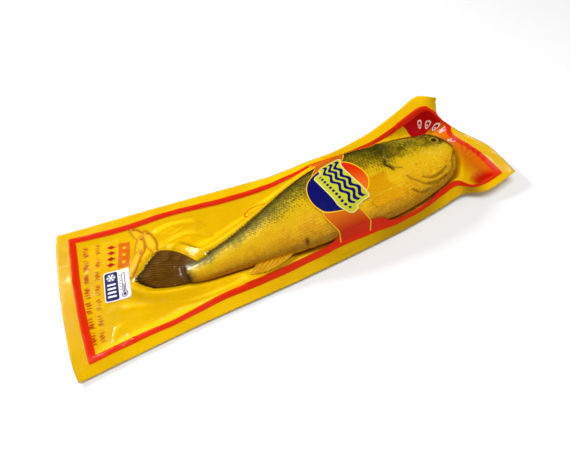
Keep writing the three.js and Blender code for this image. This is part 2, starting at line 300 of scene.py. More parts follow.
eye_ring = np.abs(np.linalg.norm(flank - np.array(EYE), axis=1) - EYE_RADIUS - 0.8)
push += 0.6 * on_flank * np.exp(-(eye_ring / 0.9) ** 2)
print(f"the carving goes from {push.min():.1f} to {push.max():.1f} mm")

# %% [markdown]
# Scales lie in rows like roof tiles, each with its free edge towards the tail. They are smaller towards
# the tail, so their size follows the body: the rows are counted round the body, and the steps along it
# shorten with it. Each scale stands up a little, and each point also keeps how near it is to its scale's
# dark root and to its free edge, where a painted highlight stands for the glint of light on the scale, so
# that the skin's colours fall on the scales.

# %% Scales
SCALE_ROWS = 31
SCALE_RELIEF = 0.5
LOWEST_SKIN = 1.3
SCALE_LENGTH = [(-112, 1.6), (-60, 2.1), (20, 2.8), (110, 2.8), (171, 2.2)]
x_steps = np.linspace(-114, 172, 600)
scale_count = np.r_[0, np.cumsum(np.diff(x_steps) / value_at(SCALE_LENGTH, x_steps[1:]))]
scale_along = np.interp(skin[:, 0], x_steps, scale_count)
scale_round = SCALE_ROWS * round_angle / math.pi
scaly = 1 - 0.85 * smoothstep(80, 118, skin[:, 0] + 0.5 * skin[:, 1])


def scale_relief(along, row):
    """At a place counted in scales: the topmost tile's height, its own tone, and the place on it."""
    height, tone, from_middle, from_row = np.zeros((4, len(along)))
    for row_step in (-1, 0, 1):
        near_row = np.round(row) + row_step
        shift = 0.5 * (near_row % 2)
        near = np.round(along - shift) + shift
        for step in (0, 1):
            dx, dy = along - near - step + 0.5, row - near_row
            tile = 1 - 1.1 * (dx**2 + 1.2 * dy**2) - 0.55 * dx
            own = np.sin(12.9898 * (near + step) + 78.233 * near_row) * 43758.5453
            on_top = tile > height
            tone = np.where(on_top, own - np.floor(own), tone)
            from_middle, from_row = np.where(on_top, dx, from_middle), np.where(on_top, dy, from_row)
            height = np.maximum(height, tile)
    return np.clip(height, 0, 1), tone, from_middle, from_row


relief, tone, from_middle, from_row = scale_relief(scale_along, scale_round)
dark_root = np.exp(-((from_middle - 0.22) ** 2 + from_row**2) / 0.1)
# The glint is a painted highlight: a bright spot on each scale's free edge, where light would glint.
painted_glint = np.exp(-((from_middle + 0.28) ** 2 + 0.8 * from_row**2) / 0.07)
push += SCALE_RELIEF * scaly * (relief - 0.6) * smoothstep(0.0, 0.35, np.abs(towards_flank))
skin = skin + normals_of(body) * push[:, None]
skin[:, 2] = np.maximum(skin[:, 2], LOWEST_SKIN + 0.15 * np.clip(skin[:, 2] - LOWEST_SKIN, -4, 0))
set_points(body, skin)
store(body, "towards_back", towards_back)
store(body, "dark_root", dark_root * scaly)
store(body, "painted_glint", painted_glint * scaly * smoothstep(0.05, 0.6, tone))
# Painted shade: a dark line along the gill cover's edge, where the fold lies in shadow.
store(body, "gill_edge_shade", np.exp(-(distance_to_path(gill_line, flank) / 1.6) ** 2) * on_flank)
store(body, "shade", shade * on_flank)
shade_smooth(body)
print(f"scales: {scale_count[-1]:.0f} along, {SCALE_ROWS} rows on each flank")

# %% [markdown]
# ## Fins and eyes
# A fin is a fan of thin rays joined by skin. Each one starts as a flat grid. One direction of the grid
# runs along the rays, from the root to the free edge, and the other counts the rays. The free edge is
# ragged where the skin between the rays is torn, and a solidify modifier gives the fan its thickness.

# %% A fan of rays
def make_fin(name, rays, root, bend, edge, height_of, lift=0.45, ragged=0.05, thickness=1.0, seed=0):
    """root, bend and edge are outlines that each ray passes, from the first ray to the last."""
    start_fresh()
    across, along = rays * 6, 26
    bpy.ops.mesh.primitive_grid_add(x_subdivisions=across, y_subdivisions=along, size=2)
    fin = bpy.context.object
    fin.name = name
    grid = points_of(fin) * MM
    ray, out = (grid[:, 0] + 1) / 2, (grid[:, 1] + 1) / 2
    lines = [even_path(line, 60) for line in (root, bend, edge)]
    places = [np.stack([np.interp(ray * 60, np.arange(61), line[:, k]) for k in (0, 1)], 1)
              for line in lines]
    torn = np.array([noise.noise((r * rays * 1.7, seed, 0)) for r in ray])
    tip = 1 - ragged * (1 + torn + 0.5 * np.cos(2 * math.pi * rays * ray))
    t = (out * tip)[:, None]
    flat = (1 - t) ** 2 * places[0] + 2 * t * (1 - t) * places[1] + t**2 * places[2]
    ridge = lift * np.cos(2 * math.pi * rays * ray) * (1 - 0.7 * out)
    z = height_of(t[:, 0], flat) + ridge + 0.3 * np.array([noise.noise((x / 9, y / 9, seed))
                                                             for x, y in flat])
    set_points(fin, np.c_[flat, z])
    store(fin, "ray", ray * rays)
    store(fin, "out", out)
    solid = fin.modifiers.new("skin", "SOLIDIFY")
    solid.thickness = thickness * MM
    solid.offset = 0
    apply_modifiers(fin)
    start_fresh()
    bpy.context.view_layer.objects.active = fin
    fin.select_set(True)
    bpy.ops.object.mode_set(mode="EDIT")
    bpy.ops.mesh.select_all(action="SELECT")
    bpy.ops.mesh.normals_make_consistent(inside=False)
    bpy.ops.object.mode_set(mode="OBJECT")
    shade_smooth(fin)
    return fin


# %% Heights on the flank
def tree_of(*pieces):
    """A search tree of the pieces' faces, to look down at them."""
    points, faces, first = [], [], 0
    for piece in pieces:
        points += [tuple(p) for p in points_of(piece)]
        faces += [tuple(first + v for v in polygon.vertices) for polygon in piece.data.polygons]
        first = len(points)
    return BVHTree.FromPolygons(points, faces)


def look(tree, flat, from_height, direction, nothing):
    """The height at which a vertical ray through each flat place meets the pieces."""
    heights = np.full(len(flat), float(nothing))
    for i, (x, y) in enumerate(flat):
        hit = tree.ray_cast((x, y, from_height), (0, 0, direction))[0]
        if hit is not None:
            heights[i] = hit.z
    return heights


body_tree = tree_of(body)


def clear_of_skin(t):
    """A fin's root is under the skin, and the rest of it lies on the skin."""
    return -0.5 + 0.72 * smoothstep(0, 0.4, t)


def on_upper_flank(t, flat):
    return look(body_tree, flat, 100, -1, 22) + clear_of_skin(t)


def on_lower_flank(t, flat):
    return look(body_tree, flat, -50, 1, 18) - clear_of_skin(t)


# %% Tail fin, folded back fin, belly fins and side fins
TAIL_FIN_HEIGHT = [(0, 8.5), (0.3, 5.8), (1, 3.6)]
tail_fin = make_fin("tail_fin", rays=17, thickness=1.1, ragged=0.035, seed=1,
                    root=[(-99, -12), (-102, -21), (-104, -29)],
                    bend=[(-110, 15), (-119, -8), (-122, -27)],
                    edge=[(-127, 18), (-135, 14), (-146, 4), (-154, -3), (-149, -11), (-141, -18)],
                    height_of=lambda t, flat: value_at(TAIL_FIN_HEIGHT, t))
back_fin = make_fin("back_fin", rays=46, thickness=1.6, lift=0.5, ragged=0.08, seed=2,
                    root=[(66, 33), (30, 27), (0, 16.5), (-30, 4), (-58, -7), (-80, -12.5)],
                    bend=[(60, 37.5), (25, 30.3), (-6, 20), (-36, 8), (-64, -2), (-85, -8)],
                    edge=[(52, 37.8), (17, 29.5), (-14, 18.8), (-43, 7.2), (-70, -2.5), (-90, -7)],
                    height_of=lambda t, flat: value_at(MIDDLE_HEIGHT, flat[:, 0]) - t)
vent_fin = make_fin("vent_fin", rays=7, thickness=1.2, lift=0.9, ragged=0.04, seed=3,
                    root=[(-18, -42), (-34, -39.5), (-50, -36)],
                    bend=[(-26, -48), (-42, -48), (-57, -42)],
                    edge=[(-38, -49), (-50, -49.5), (-63, -45.5)],
                    height_of=lambda t, flat: value_at(MIDDLE_HEIGHT, flat[:, 0]) - 2 * t)

# The side fin lies back along the flank from behind the gill cover, with the belly fin below it.
side_fin_lines = {"root": [(91, -12), (89, -18), (90, -26)],
                  "bend": [(72, -12.8), (66, -21), (69, -31)],
                  "edge": [(50, -14.2), (43, -21), (49, -33)]}
belly_fin_lines = {"root": [(88, -32), (87, -35), (88, -38)],
                   "bend": [(72, -31), (70, -36), (71, -40.5)],
                   "edge": [(58, -34), (55, -37), (58, -41)]}
side_fins = [make_fin(f"side_fin_{side}", rays=15, **side_fin_lines, height_of=height_of, lift=0.12,
                      thickness=0.35, ragged=0.04, seed=4)
             for side, height_of in (("upper", on_upper_flank), ("lower", on_lower_flank))]
belly_fins = [make_fin(f"belly_fin_{side}", rays=6, **belly_fin_lines, height_of=height_of, lift=0.15,
                       thickness=0.35, ragged=0.04, seed=5)
              for side, height_of in (("upper", on_upper_flank), ("lower", on_lower_flank))]
fins = [tail_fin, back_fin, vent_fin, *side_fins, *belly_fins]
print("fins:", ", ".join(fin.name for fin in fins))


# %% Eyes
def make_eye(name, side):
    """A ball pressed flat, set in its socket."""
    start_fresh()
    place = np.array([EYE])
    surface = look(body_tree, place, 100 if side > 0 else -50, -side, 20)[0]
    bpy.ops.mesh.primitive_uv_sphere_add(segments=48, ring_count=24, radius=EYE_RADIUS * MM,
                                         location=Vector((*EYE, surface - side * 0.8)) * MM)
    eye = bpy.context.object
    eye.name = name
    eye.scale = (1, 0.94, 0.45)
    bpy.ops.object.transform_apply(location=True, rotation=True, scale=True)
    shade_smooth(eye)
    return eye


eyes = [make_eye("eye_upper", 1), make_eye("eye_lower", -1)]
fish = [body, *fins, *eyes]
print("pieces of the fish:", len(fish))

# %% [markdown]
# ## The pouch
# Both films are cut to the same flat rectangle and welded along their edges. When the air is drawn out,
# the front film is pressed on the fish and the back film, and it stays clear of them only where it is
# too stiff to follow. A cloth simulation would find that shape slowly and a little differently on each
# machine. A pressed film is simpler: its height is smoothed again and again, pulled down a little at
# each pass, and never let through the fish or the film below. Four lines run the length of the pouch,
# its two edges and the two inner lines of the side seals, and they give every point its place.

# %% The four lines of the pouch
NEAR_EDGE = [(-212.7, -76.2, 2.5), (-115, -67.4, 2), (-22, -62.3, 2), (79.5, -53.2, 2.2), (127, -46, 3.5),
             (148, -42, 5), (159, -41.5, 6), (174, -48.5, 8), (187, -48.3, 10), (213.8, -42.3, 12)]
NEAR_LINE = [(-213.5, -62, 3), (-203.5, -61.2, 3), (-178, -58.7, 3.5), (-153, -56.8, 4), (-132, -57, 6),
             (-110, -54.5, 7), (-88, -52.6, 9), (-66, -52.9, 10), (-36, -52.2, 11), (-2, -49.6, 12.5),
             (23, -48, 15.2), (52.5, -47.8, 15.3), (77, -49, 15.5), (105.6, -45.5, 16), (136.5, -34.8, 14.5),
             (152.4, -31.6, 15), (166.5, -42, 14), (199, -34.7, 13), (214, -28, 13)]
FAR_LINE = [(-208.5, 67, 3), (-152.5, 59.6, 3), (-104.5, 58.2, 4), (-56.6, 52, 4), (-12.9, 48.8, 6),
            (15.9, 48.3, 10), (38.2, 48.8, 14), (74, 44.5, 18), (102, 44.2, 21), (127.7, 48.8, 24),
            (141.5, 52.8, 27), (155.6, 57.4, 31), (171, 61, 37), (182.5, 55, 38)]
FAR_EDGE = [(-207.6, 76.2, 2.5), (-164.7, 73.2, 3), (-119.2, 70.4, 3), (-71.9, 67.4, 3), (-23.3, 62.8, 4),
            (1.3, 59.6, 6), (35.3, 57, 12), (68.2, 52, 19.5), (105.6, 54.6, 26), (126.7, 60, 29),
            (149.2, 66.7, 33), (168.6, 69, 40.5), (181, 53, 46)]
FLAT_LENGTH, FLAT_WIDTH = 430.0, 150.0
SIDE_SEAL, TAIL_SEAL, HEAD_SEAL = 15.0, 13.5, 20.0
HEAD_EDGE = [(213.8, -42.3, 12), (214.3, -25.5, 13), (211.5, -3.3, 15), (203, 12.3, 17), (192, 25.6, 21),
             (178, 44, 33), (181, 53, 46)]
HEAD_REACH = 60.0
# Beside the far corner the head margin is folded under, by this much at each place across the pouch.
FOLD_UNDER = [(-75, 0), (0, 0), (14, 3), (28, 13), (36, 17), (54, 17), (61, 7), (67, 0), (75, 0)]
UNDER_DIRECTION = np.array([0.34, 0, -0.94])
UNDER_CLEAR = 0.4
TAIL_BOW = 3.8
FILM = 0.25
ALONG, ACROSS = 352, 132

LINES = [even_path(line, 400) for line in (NEAR_EDGE, NEAR_LINE, FAR_LINE, FAR_EDGE)]
HEAD_LINE = even_path(HEAD_EDGE, 200)


def on_line(line, share):
    """The points this far along an even path."""
    steps = np.arange(len(line))
    return np.stack([np.interp(share * steps[-1], steps, line[:, k]) for k in range(3)], -1)


def sealed_surface(along, across):
    """The welded films' places at along, 0 to 1 from the tail, and across, -1 to 1 from the near side."""
    turned = value_at(FOLD_UNDER, across * FLAT_WIDTH / 2)
    run = along * FLAT_LENGTH / (FLAT_LENGTH - turned)
    s = np.minimum(run, 1)
    inner = 1 - 2 * SIDE_SEAL / FLAT_WIDTH
    stops = np.array([-1, -inner, inner, 1])
    panel = np.clip(np.searchsorted(stops, across, side="right") - 1, 0, 2)
    share = ((across - stops[panel]) / (stops[panel + 1] - stops[panel]))[..., None]
    place, end = np.zeros((2, *across.shape, 3))
    for k, (near, far) in enumerate(zip(LINES[:-1], LINES[1:])):
        here = (panel == k)[..., None]
        place = np.where(here, (1 - share) * on_line(near, s) + share * on_line(far, s), place)
        end = np.where(here, (1 - share) * near[-1] + share * far[-1], end)
    place[..., 0] -= TAIL_BOW * (1 - across**2) * (1 - s) ** 3
    near_head = smoothstep(1 - HEAD_REACH / FLAT_LENGTH, 1, s)[..., None] ** 1.5
    place += near_head * (on_line(HEAD_LINE, (across + 1) / 2) - end)
    turned_over = (run - s) * (FLAT_LENGTH - turned)
    return place + turned_over[..., None] * UNDER_DIRECTION


along_share = np.tile(np.linspace(0, 1, ALONG + 1)[:, None], (1, ACROSS + 1))
across_share = np.tile(np.linspace(-1, 1, ACROSS + 1), (ALONG + 1, 1))
flat_x = along_share * FLAT_LENGTH
flat_y = across_share * FLAT_WIDTH / 2
in_side_seal = np.abs(flat_y) > FLAT_WIDTH / 2 - SIDE_SEAL
sealed = in_side_seal | (flat_x < TAIL_SEAL) | (flat_x > FLAT_LENGTH - HEAD_SEAL)
print(f"the flat film is {FLAT_LENGTH:.0f} x {FLAT_WIDTH:.0f} mm, and {sealed.mean():.0%} of it is welded")


# %% Press the films on the fish
def spread(values, pick):
    """Each point takes the highest or lowest value among its neighbours."""
    wide = values.copy()
    for axis in (0, 1):
        wide = pick(wide, pick(np.roll(wide, 1, axis), np.roll(wide, -1, axis)))
    return wide


def press(height, fixed, low, high, pull, passes):
    """Smooths a height between its fixed edges, pulled by the vacuum and kept between low and high."""
    height = np.clip(height, low, high)
    for _ in range(passes):
        sides = height[:-2, 1:-1] + height[2:, 1:-1] + height[1:-1, :-2] + height[1:-1, 2:]
        inner = 0.25 * sides - pull
        height[1:-1, 1:-1] = np.where(fixed[1:-1, 1:-1], height[1:-1, 1:-1],
                                      np.clip(inner, low[1:-1, 1:-1], high[1:-1, 1:-1]))
    return height


fish_tree = tree_of(*fish)
CLEAR = 0.45
FILM_GAP = 0.12
# Near the fish the back film is drawn up to it, and elsewhere it is drawn down to the table.
CLING_REACH, CLING_PULL, BACK_PULL, BACK_PASSES = 5, -0.06, 0.02, 500
FRONT_PULL, FRONT_PASSES = 0.11, 260
EVEN_PASSES = 30
shape = across_share.shape
no_limit = np.full(shape, 500.0)

back_place = sealed_surface(along_share, across_share)
back_flat = back_place[..., :2].reshape(-1, 2)
under_fish = spread(look(fish_tree, back_flat, -50, 1, 200).reshape(shape), np.minimum) - CLEAR
floor = np.full(shape, FILM / 2)
near_fish = np.where(under_fish < 150, 1.0, 0.0)
for _ in range(CLING_REACH):
    near_fish = spread(near_fish, np.maximum)
pull = np.where(near_fish > 0, CLING_PULL, BACK_PULL)[1:-1, 1:-1]
back_place[..., 2] = press(np.where(sealed, back_place[..., 2], floor), sealed, floor,
                           np.where(sealed, no_limit, np.maximum(under_fish, floor)), pull,
                           BACK_PASSES)


def press_front(across):
    """The place of the front film's points, when they lie at these shares across the pouch."""
    place = sealed_surface(along_share, across)
    top = look(fish_tree, place[..., :2].reshape(-1, 2), 100, -1, -100).reshape(shape)
    below = np.stack([np.interp(a, b, z) for a, b, z in zip(across, across_share, back_place[..., 2])])
    lowest = below + FILM + FILM_GAP
    limit = np.where(sealed, lowest, np.maximum(lowest, spread(top, np.maximum) + CLEAR))
    place[..., 2] = press(limit.copy(), sealed, limit, no_limit, FRONT_PULL, FRONT_PASSES)
    turned = value_at(FOLD_UNDER, across * FLAT_WIDTH / 2)
    place[..., 0] += UNDER_CLEAR * smoothstep(-2, 1, flat_x - FLAT_LENGTH + turned) * (turned > 1)
    return place, limit


# %% Space the front film's points evenly, so that its print isn't stretched
front_place, limit = press_front(across_share)
steps = np.linalg.norm(np.diff(front_place, axis=1), axis=2)
steps[:, (in_side_seal[0, :-1] & in_side_seal[0, 1:])] = 0
run = np.concatenate([np.zeros((ALONG + 1, 1)), np.cumsum(steps, axis=1)], axis=1)
front_across = np.empty(shape)
for i in range(ALONG + 1):
    middle = ~in_side_seal[i]
    even = np.linspace(run[i][middle][0], run[i][middle][-1], middle.sum())
    front_across[i] = across_share[i]
    front_across[i, middle] = np.interp(even, run[i][middle], across_share[i][middle])
for _ in range(EVEN_PASSES):
    front_across[1:-1] = (front_across[:-2] + 2 * front_across[1:-1] + front_across[2:]) / 4
front_place, limit = press_front(front_across)
girth = np.linalg.norm(np.diff(front_place, axis=1), axis=2).sum(axis=1)
print(f"the front film rises to {front_place[..., 2].max():.1f} mm, and is {girth.min():.0f} to "
      f"{girth.max():.0f} mm round from edge to edge")

# %% [markdown]
# Where the film bridges from the fish to the table it gathers into folds. Each fold is a soft ridge along
# a smooth line, which fades out at both ends. The welded margins have no air to lose, so they only wave
# a little, and they crease where the pack was bent.

# %% Folds and creases of the front film
FOLDS = [([(-128, 41), (-117, 47), (-102, 47), (-90, 43), (-83, 35), (-79, 23)], 2.0, 2.2),
         ([(-124, 20), (-114, 29), (-102, 32), (-92, 29), (-82, 21), (-75, 16)], 2.3, 2.0),
         ([(-119, 13), (-113, 20), (-106, 18), (-99, 9), (-92, 0), (-84, -2)], 1.8, 1.8),
         ([(-172, -22), (-150, -30), (-131, -37), (-108, -44), (-86, -46), (-60, -48)], 1.3, 2.4),
         ([(-60, -48), (-42, -49), (-17, -47), (10, -50)], 0.5, 1.4),
         ([(-129, 37), (-119, 40), (-112, 36), (-103, 38), (-95, 41)], 0.7, 0.8),
         ([(-118, 44), (-112, 41), (-106, 43), (-99, 40)], 0.6, 0.8),
         ([(-207, 57), (-195, 51), (-186, 44)], 0.8, 1.0),
         ([(-204, 27), (-203, 14), (-197, 6), (-192, 20), (-185, 32)], 0.8, 1.0),
         ([(-182, -61), (-181, -48), (-175, -39), (-170, -48), (-166, -58), (-160, -66)], 0.7, 1.1),
         ([(-178, -67), (-171, -59), (-163, -60), (-155, -64)], 0.5, 0.9),
         ([(0, -50), (9, -45), (19, -46), (27, -45)], 0.6, 1.0)]
CREASES = [([(-64, -50), (-52, -52), (-40, -49)], 0.5, 0.8),
           ([(140, 63), (138, 52), (132, 38)], 0.9, 1.2),
           ([(128, 60), (127, 50), (124, 40)], 0.6, 1.0),
           ([(144, -33), (140, -40), (136, -47)], 1.0, 1.2),
           ([(20, -57), (24, -61), (23, -66)], 0.7, 1.1),
           ([(6, -57), (12, -52), (22, -55), (30, -52)], 0.6, 0.9)]
FAN_FROM = (172.0, -12.0)
FAN_FOLDS = 9


def fold_height(flat, path, height, width):
    """A ridge along the path, fading towards its ends."""
    line = even_path(path, 18)
    ends = np.minimum(np.linalg.norm(flat - line[0], axis=1), np.linalg.norm(flat - line[-1], axis=1))
    return height * np.exp(-(distance_to_path(line, flat) / width) ** 2) * smoothstep(0, 9, ends)


def wrinkles(flat, size, seed):
    return np.array([noise.noise((x / size, y / size, seed)) for x, y in flat])


def margin_wave(flat):
    """The slow and the fine waves of the welded margins, and nothing between them."""
    wave = 0.5 * wrinkles(flat, 16.0, 5.0) + 0.08 * wrinkles(flat, 4.5, 6.0)
    return np.where(sealed, wave.reshape(shape), 0)


film_flat = front_place[..., :2].reshape(-1, 2)
raised = sum(fold_height(film_flat, *fold) for fold in FOLDS + CREASES)
for k in range(FAN_FOLDS):
    turn = math.radians(-78 + 17 * k)
    tip = [(FAN_FROM[0] + r * math.cos(turn), FAN_FROM[1] + r * math.sin(turn)) for r in (6, 16, 27)]
    raised += fold_height(film_flat, tip, 1.5 + 0.5 * (k % 2), 1.5)
free = (~sealed).ravel()
fishless = smoothstep(0.6, 4, (front_place[..., 2] - limit).ravel() + 4 * (limit.ravel() < 4.5))
raised += free * (0.16 + 0.2 * fishless) * wrinkles(film_flat, 9.0, 1.0)
raised += free * 0.06 * wrinkles(film_flat, 2.6, 2.0)
front_place[..., 2] = np.maximum(front_place[..., 2] + raised.reshape(shape), limit)
front_place[..., 2] += margin_wave(film_flat)
back_place[..., 2] += margin_wave(back_flat)
print(f"{len(FOLDS) + len(CREASES) + FAN_FOLDS} folds")


# %% Make the two films
# Round the thick of the fish the front film slid along as it was drawn in, and its print with it.
SLIDE = [(-60, 0), (-38, -6.5), (-28, -3.5), (-17, 0), (-7, 3.5), (15, 12), (45, 23), (60, 28)]
SLIDE_FROM, SLIDE_TO, SLIDE_FADE = 205.0, 300.0, 70.0


def make_film(name, place, slides):
    """A sheet as fine as the pressed surface, with its flat size as its UV map."""
    start_fresh()
    bpy.ops.mesh.primitive_grid_add(x_subdivisions=ALONG, y_subdivisions=ACROSS, size=2 * MM)
    film = bpy.context.object
    film.name = name
    film.data.uv_layers[0].name = "flat"
    grid = points_of(film)
    i = np.rint((grid[:, 0] + 1) / 2 * ALONG).astype(int)
    j = np.rint((grid[:, 1] + 1) / 2 * ACROSS).astype(int)
    set_points(film, place[i, j])
    if slides:
        x, y = flat_x[i, j], flat_y[i, j]
        here = smoothstep(SLIDE_FROM - SLIDE_FADE, SLIDE_FROM, x) * (
            1 - smoothstep(SLIDE_TO, SLIDE_TO + SLIDE_FADE, x))
        u = (x - value_at(SLIDE, y) * here) / FLAT_LENGTH
        for loop, coordinate in zip(film.data.loops, film.data.uv_layers[0].data):
            coordinate.uv.x = u[loop.vertex_index]
    film.data.materials.append(None)
    film.data.materials.append(None)
    solid = film.modifiers.new("thickness", "SOLIDIFY")
    solid.thickness = FILM * MM
    solid.offset = 0
    solid.material_offset = 1
    apply_modifiers(film)
    shade_smooth(film)
    return film


front_film = make_film("front_film_clear", front_place, slides=True)
back_film = make_film("back_film_yellow", back_place, slides=False)
print("film faces:", len(front_film.data.polygons), len(back_film.data.polygons))

# %% [markdown]
# ## The storage sticker
# A small paper label is stuck on the front film beside the tail fin. It is cut with round corners, and
# it follows the film under it, so it is made as a grid, pressed into its outline and laid on the film.

# %% Sticker
STICKER_PLACE = (-168.0, -0.2)
STICKER_WIDTH, STICKER_LENGTH, STICKER_CORNER = 22.5, 31.5, 2.5
STICKER_TURN = -0.13
PAPER = 0.18


def make_sticker():
    start_fresh()
    bpy.ops.mesh.primitive_grid_add(x_subdivisions=34, y_subdivisions=46, size=2 * MM)
    sticker = bpy.context.object
    sticker.name = "storage_label"
    sticker.data.uv_layers[0].name = "flat"
    grid = points_of(sticker)
    half = np.array([STICKER_WIDTH, STICKER_LENGTH]) / 2
    flat = grid[:, :2] * half
    over = np.clip(np.abs(flat) - (half - STICKER_CORNER), 0, None)
    reach = np.linalg.norm(over, axis=1)
    square = over.max(axis=1)
    pull_in = np.where(reach > 0, square / np.maximum(reach, 1e-9), 1)
    flat = np.sign(flat) * (np.minimum(np.abs(flat), half - STICKER_CORNER) + over * pull_in[:, None])
    turn = np.array([[math.cos(STICKER_TURN), -math.sin(STICKER_TURN)],
                     [math.sin(STICKER_TURN), math.cos(STICKER_TURN)]])
    flat = flat @ turn.T + np.array(STICKER_PLACE)
    height = look(tree_of(front_film), flat, 100, -1, 3)
    set_points(sticker, np.c_[flat, height + PAPER / 2 + 0.08])
    solid = sticker.modifiers.new("paper", "SOLIDIFY")
    solid.thickness = PAPER * MM
    solid.offset = 0
    apply_modifiers(sticker)
    shade_smooth(sticker)
    return sticker


sticker = make_sticker()
print("sticker faces:", len(sticker.data.polygons))

# %% [markdown]
# ## Camera, light and floor
# The camera looks down at the pack from over its tail half, with the head end farther away, and leans
# by a few degrees. One lamp at the back is small and shows in the plastic, so that folds and edges
# glint. The others are wide and are kept out of the reflections, because a wide lamp lays a pale veil over
# a glossy film and washes out the colours under it. The floor is kept out of them for the same reason.

# %% Camera
CAMERA_TARGET = Vector((-16.2, -11.42, 0)) * MM
CAMERA_AZIMUTH, CAMERA_ELEVATION, CAMERA_ROLL = (math.radians(a) for a in (-21.75, 51.25, -2.73))
CAMERA_DISTANCE = 457.26 * MM
FOCAL_LENGTH = 31.58

away = Vector((math.sin(CAMERA_AZIMUTH) * math.cos(CAMERA_ELEVATION),
               -math.cos(CAMERA_AZIMUTH) * math.cos(CAMERA_ELEVATION), math.sin(CAMERA_ELEVATION)))
level = Vector((math.cos(CAMERA_AZIMUTH), math.sin(CAMERA_AZIMUTH), 0))
upright = away.cross(level)
right = math.cos(CAMERA_ROLL) * level + math.sin(CAMERA_ROLL) * upright
up = away.cross(right)
camera = bpy.data.objects.new("camera", bpy.data.cameras.new("camera"))
bpy.context.scene.collection.objects.link(camera)
camera.matrix_world = Matrix.Translation(CAMERA_TARGET + CAMERA_DISTANCE * away) @ Matrix(
    (right, up, away)).transposed().to_4x4()
camera.data.lens = FOCAL_LENGTH
camera.data.clip_start, camera.data.clip_end = 0.01, 20
bpy.context.scene.camera = camera
print("camera height:", round(camera.location.z, 3), "m")


# %% Lights
def add_light(name, place, size, watts, mirrored):
    """A soft square light that looks at the pack. Only a mirrored one shows in the gloss."""
    light = bpy.data.objects.new(name, bpy.data.lights.new(name, "AREA"))
    light.data.size, light.data.energy = size, watts
    light.visible_glossy = mirrored
    light.location = place
    light.rotation_euler = (-Vector(place)).to_track_quat("-Z", "Y").to_euler()
    bpy.context.scene.collection.objects.link(light)


add_light("key", (-0.75, 0.95, 0.8), 0.3, 13, mirrored=True)
add_light("rim", (1.2, 0.5, 1.0), 0.08, 0.6, mirrored=True)
add_light("overhead", (0.0, -0.1, 1.5), 1.0, 16, mirrored=False)
add_light("fill", (0.6, -1.2, 0.9), 1.0, 4, mirrored=False)
world = bpy.data.worlds.new("studio")
world.use_nodes = True
world.node_tree.nodes["Background"].inputs["Color"].default_value = (1, 1, 1, 1)
world.node_tree.nodes["Background"].inputs["Strength"].default_value = 0.2
bpy.context.scene.world = world
world.cycles_visibility.glossy = False
bpy.context.scene.view_settings.view_transform = "Standard"

# %% Floor
FLOOR_DROP = 0.2 * MM
start_fresh()
bpy.ops.mesh.primitive_plane_add(size=8, location=(0, 0, -FLOOR_DROP))
floor_plane = bpy.context.object
floor_plane.name = "floor"
floor_plane.visible_glossy = False
print("the floor is", floor_plane.dimensions.x, "m wide")

# %% [markdown]
# ## Reading places as numbers
# The print and the skin are patterns of distances: a line is where a distance is small, a badge is where
# it is below a radius. Wiring such sums by hand is slow to read, so a small class writes Math nodes from
# ordinary sums. Each Field is the output of a node, and an operator adds the node that works it out.

# %% A number that changes over a surface
class Field:
    def __init__(self, tree, socket):
        self.tree, self.socket = tree, socket

    def node(self, operation, *others, clamp=False):
        """A Math node of this number and the others, which may be plain numbers."""
        node = self.tree.nodes.new("ShaderNodeMath")
        node.operation, node.use_clamp = operation, clamp
        for socket, value in zip(node.inputs, (self, *others)):
            if isinstance(value, Field):
                self.tree.links.new(value.socket, socket)
            else:
                socket.default_value = value
        return Field(self.tree, node.outputs[0])

    def __add__(self, other):
        return self.node("ADD", other)

    def __sub__(self, other):
        return self.node("SUBTRACT", other)

    def __mul__(self, other):
        return self.node("MULTIPLY", other)

    def __truediv__(self, other):
        return self.node("DIVIDE", other)

    def minus_from(self, number):
        return self.node("MULTIPLY_ADD", -1.0, number)

    def abs(self):
        return self.node("ABSOLUTE")

    def least(self, other):
        return self.node("MINIMUM", other)

    def most(self, other):
        return self.node("MAXIMUM", other)

    def wave(self, length):
        """A sine wave of this number, from -1 to 1."""
        return (self * (2 * math.pi / length)).node("SINE")

    def inside(self, soft=0.35):
        """1 where the distance is below nothing, 0 where it is above, with an edge this soft."""
        return self.node("MULTIPLY_ADD", -1.0 / soft, 0.5, clamp=True)

    def between(self, low, high):
        """Rises smoothly from 0 at low to 1 at high."""
        node = self.tree.nodes.new("ShaderNodeMapRange")
        node.interpolation_type = "SMOOTHSTEP"
        self.tree.links.new(self.socket, node.inputs["Value"])
        node.inputs["From Min"].default_value, node.inputs["From Max"].default_value = low, high
        return Field(self.tree, node.outputs["Result"])


def length_of(x, y):
    return (x * x + y * y).node("SQRT")


def box(x, y, centre, size, corner=0.0):
    """The distance to a box with round corners, negative inside it."""
    across = (x - centre[0]).abs() - (size[0] / 2 - corner)
    along = (y - centre[1]).abs() - (size[1] / 2 - corner)
    if not corner:
        return across.most(along)
    outside = length_of(across.most(0.0), along.most(0.0))
    return outside + across.most(along).least(0.0) - corner


def disc(x, y, centre, radius):
    return length_of(x - centre[0], y - centre[1]) - radius


def turned(x, y, centre, degrees):
    """The place seen from a centre, along an axis turned by that many degrees."""
    c, s = math.cos(math.radians(degrees)), math.sin(math.radians(degrees))
    dx, dy = x - centre[0], y - centre[1]
    return dx * c + dy * s, dy * c - dx * s


# %% Colours
def srgb(*levels):
    """A colour given in screen levels, 0 to 255, as the linear colour that a shader takes."""
    return tuple((v / 255 / 12.92) if v <= 10.3 else ((v / 255 + 0.055) / 1.055) ** 2.4 for v in levels)


def blend(tree, share, first, second):
    """A Mix node of two colours. Each is a colour or a socket, and the share is a Field or a number."""
    node = tree.nodes.new("ShaderNodeMix")
    node.data_type = "RGBA"
    if isinstance(share, Field):
        tree.links.new(share.socket, node.inputs["Factor"])
    else:
        node.inputs["Factor"].default_value = share
    sockets = [socket for socket in node.inputs if socket.type == "RGBA"]
    for socket, value in zip(sockets, (first, second)):
        if isinstance(value, bpy.types.NodeSocket):
            tree.links.new(value, socket)
        else:
            socket.default_value = (*value, 1)
    return next(socket for socket in node.outputs if socket.type == "RGBA")


